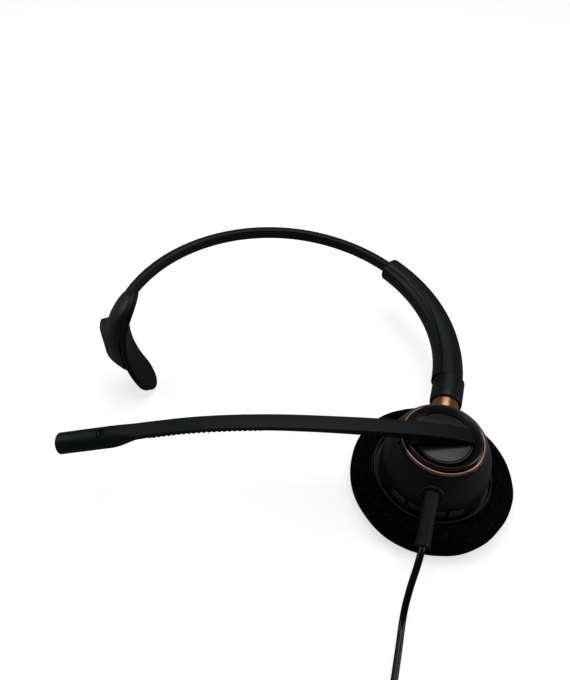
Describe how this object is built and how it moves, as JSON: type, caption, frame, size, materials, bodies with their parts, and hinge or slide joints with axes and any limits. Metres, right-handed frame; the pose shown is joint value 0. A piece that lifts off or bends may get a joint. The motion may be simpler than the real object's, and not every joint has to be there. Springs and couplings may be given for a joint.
{
  "type": "single-ear office headset",
  "caption": "Monaural corded headset: foam ear cup with turning microphone boom, telescoping headband on a swivel post and a tilting temple bar.",
  "frame": {"origin": "centre of the ear cushion's flat face, on the table the headset lies on", "axes": "+Z along the ear cup's axis away from the ear, +Y along the swivel post from the cup towards the headband, the headband curving round to -X"},
  "size_m": [0.2201, 0.2386, 0.0558],
  "materials": {
    "ear_foam": "open-cell foam, matte",
    "black_plastic": "fine satin moulding",
    "gloss_black": "polished",
    "copper_trim": "satin rose-copper plating",
    "black_rubber": "matte",
    "cord_jacket": "semi-gloss jacket",
    "spring_steel": "bright rolled",
    "white_acetal": "as moulded",
    "speaker_cloth": "fine mesh",
    "speaker_film": "thin film",
    "coil_copper": "enamelled wire",
    "board_green": "solder mask",
    "gold_contact": "gold flash"
  },
  "bodies": {
    "cup": {"foam_cushion": "ear_foam", "ear_plate": "black_plastic", "speaker_mesh": "speaker_cloth", "speaker_basket": "spring_steel", "speaker_diaphragm": "speaker_film", "voice_coil": "coil_copper", "speaker_magnet": "spring_steel", "circuit_board": "board_green", "plate_screws": "spring_steel", "cup_shell": "black_plastic", "gloss_bezel": "gloss_black", "copper_ring": "copper_trim", "turret_bush": "white_acetal", "turret_friction_ring": "black_rubber", "swivel_post": "copper_trim", "post_nut": "spring_steel", "swivel_washer": "spring_steel", "swivel_clip": "spring_steel", "cable_gland": "black_plastic", "strain_relief": "black_rubber", "cable_run": "cord_jacket", "cable_coil": "cord_jacket", "cable_tie": "cord_jacket", "cable_tail": "cord_jacket", "plug_relief": "black_rubber", "plug_shell_lower": "black_plastic", "plug_shell_upper": "black_plastic", "plug_tongue": "black_plastic", "plug_contacts": "gold_contact"},
    "boom": {"turret_cap": "black_plastic", "turret_spindle": "spring_steel", "turret_clip": "spring_steel", "boom_arm": "black_plastic", "boom_core": "spring_steel", "boom_grip": "black_rubber", "mic_tube": "black_plastic", "mic_capsule": "spring_steel", "mic_boot": "black_rubber", "mic_mesh": "speaker_cloth", "mic_end_cap": "black_plastic"},
    "sleeve": {"sleeve_collar": "black_plastic", "pivot_bush": "white_acetal", "sleeve_outer": "black_plastic", "sleeve_inner": "black_plastic", "detent_spring": "spring_steel"},
    "band": {"band_strip": "black_plastic", "band_spring": "spring_steel", "band_stop": "black_plastic"},
    "tbar": {"tbar_cover": "black_plastic", "tbar_frame": "black_plastic", "tbar_pad": "black_rubber", "tbar_pin": "spring_steel", "tbar_screws": "spring_steel"}
  },
  "joints": [
    {"name": "boom_turn", "type": "hinge", "parent": "cup", "child": "boom", "pos_m": [0, 0, 0.0296], "axis": [0, 0, 1], "range_deg": [-8, 217]},
    {"name": "cup_swivel", "type": "hinge", "parent": "cup", "child": "sleeve", "pos_m": [0, 0.036, 0.0226], "axis": [0, 1, 0], "range_deg": [-180, 0]},
    {"name": "band_slide", "type": "hinge", "parent": "sleeve", "child": "band", "pos_m": [-0.07613, 0.033, 0.02579], "axis": [0.0419, 0, 0.9991], "range_deg": [-9, 14]},
    {"name": "tbar_tilt", "type": "hinge", "parent": "band", "child": "tbar", "pos_m": [-0.13837, 0.00945, 0.0284], "axis": [0.0419, 0, 0.9991], "range_deg": [-8, 8]}
  ]
}
